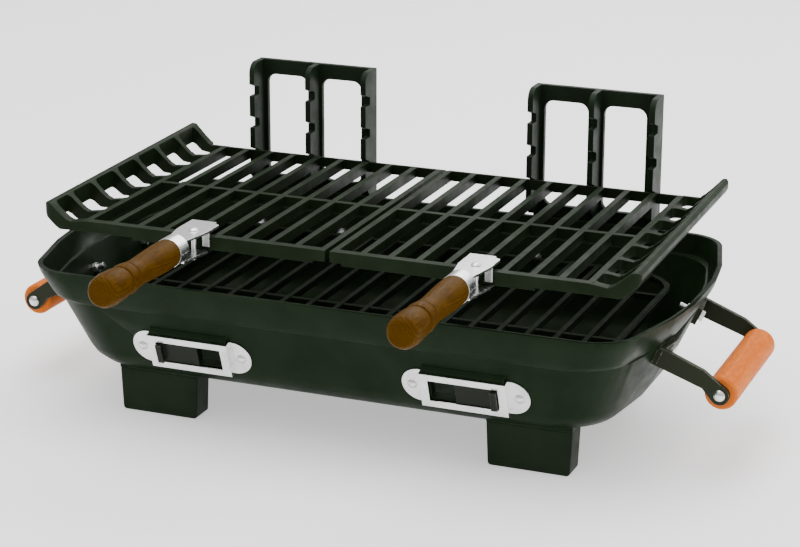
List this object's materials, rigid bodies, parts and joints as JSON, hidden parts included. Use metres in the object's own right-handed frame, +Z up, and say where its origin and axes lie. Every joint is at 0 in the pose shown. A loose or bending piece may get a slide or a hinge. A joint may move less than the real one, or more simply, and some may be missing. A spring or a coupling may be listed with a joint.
{
  "type": "cast-iron tabletop charcoal grill",
  "caption": "Cast-iron tabletop charcoal grill: footed bowl with sliding draught vents, loose fire grate, and cooking grates that hook into notched racks.",
  "frame": {"origin": "on the table surface, at the centre of the overall box in plan (the box includes the grate handles at the front and the rack bolts at the back)", "axes": "+X to the right as seen from the front, along the bowl's length; +Y from the front to the racks at the back; +Z up from the feet"},
  "size_m": [0.6126, 0.4332, 0.24],
  "materials": {
    "cast_iron": "seasoned satin black casting with a fine sand-cast grain",
    "plated_sheet": "bright plated pressed sheet",
    "hardware": "zinc-plated fasteners",
    "arm_strap": "dark painted steel strap",
    "handle_wood": "turned golden-brown hardwood, satin varnish",
    "grip_wood": "turned pale orange hardwood, lightly worn"
  },
  "bodies": {
    "shell": {"bowl": "cast_iron", "left_rack": "cast_iron", "right_rack": "cast_iron", "rack_bolts": "hardware", "rack_nuts": "hardware", "front_left_foot": "cast_iron", "front_right_foot": "cast_iron", "rear_left_foot": "cast_iron", "rear_right_foot": "cast_iron", "foot_screws": "hardware", "left_vent_frame": "plated_sheet", "right_vent_frame": "plated_sheet", "vent_screws": "hardware", "vent_nuts": "hardware", "left_grip_rod": "hardware", "right_grip_rod": "hardware", "grip_rod_nuts": "hardware", "left_front_arm": "arm_strap", "left_rear_arm": "arm_strap", "right_front_arm": "arm_strap", "right_rear_arm": "arm_strap", "arm_bolts": "hardware", "arm_nuts": "hardware"},
    "charcoal_grate": {"fire_grate": "cast_iron"},
    "left_cooking": {"left_cooking_grate": "cast_iron", "left_grate_handle": "handle_wood", "left_clamp_top": "plated_sheet", "left_clamp_jaw": "plated_sheet", "left_clamp_bolt": "hardware", "left_clamp_nut": "hardware"},
    "right_cooking": {"right_cooking_grate": "cast_iron", "right_grate_handle": "handle_wood", "right_clamp_top": "plated_sheet", "right_clamp_jaw": "plated_sheet", "right_clamp_bolt": "hardware", "right_clamp_nut": "hardware"},
    "left_shutter": {"left_vent_shutter": "plated_sheet"},
    "right_shutter": {"right_vent_shutter": "plated_sheet"},
    "left_grip": {"left_carry_grip": "grip_wood"},
    "right_grip": {"right_carry_grip": "grip_wood"}
  },
  "joints": [
    {"name": "left_shutter_slide", "type": "slide", "parent": "shell", "child": "left_shutter", "axis": [1, 0, 0], "range_m": [0, 0.022]},
    {"name": "right_shutter_slide", "type": "slide", "parent": "shell", "child": "right_shutter", "axis": [-1, 0, 0], "range_m": [0, 0.022]},
    {"name": "left_cooking_tilt", "type": "hinge", "parent": "shell", "child": "left_cooking", "pos_m": [-0.1281, 0.1964, 0.154], "axis": [-1, 0, 0], "range_deg": [0, 7]},
    {"name": "right_cooking_tilt", "type": "hinge", "parent": "shell", "child": "right_cooking", "pos_m": [0.1281, 0.1964, 0.154], "axis": [-1, 0, 0], "range_deg": [0, 7]},
    {"name": "charcoal_grate_lift", "type": "slide", "parent": "shell", "child": "charcoal_grate", "axis": [0, 0, 1], "range_m": [0, 0.045]},
    {"name": "left_grip_spin", "type": "hinge", "parent": "shell", "child": "left_grip", "pos_m": [-0.2935, 0.0614, 0.067], "axis": [0, 1, 0], "continuous": true},
    {"name": "right_grip_spin", "type": "hinge", "parent": "shell", "child": "right_grip", "pos_m": [0.2935, 0.0614, 0.067], "axis": [0, 1, 0], "continuous": true}
  ]
}
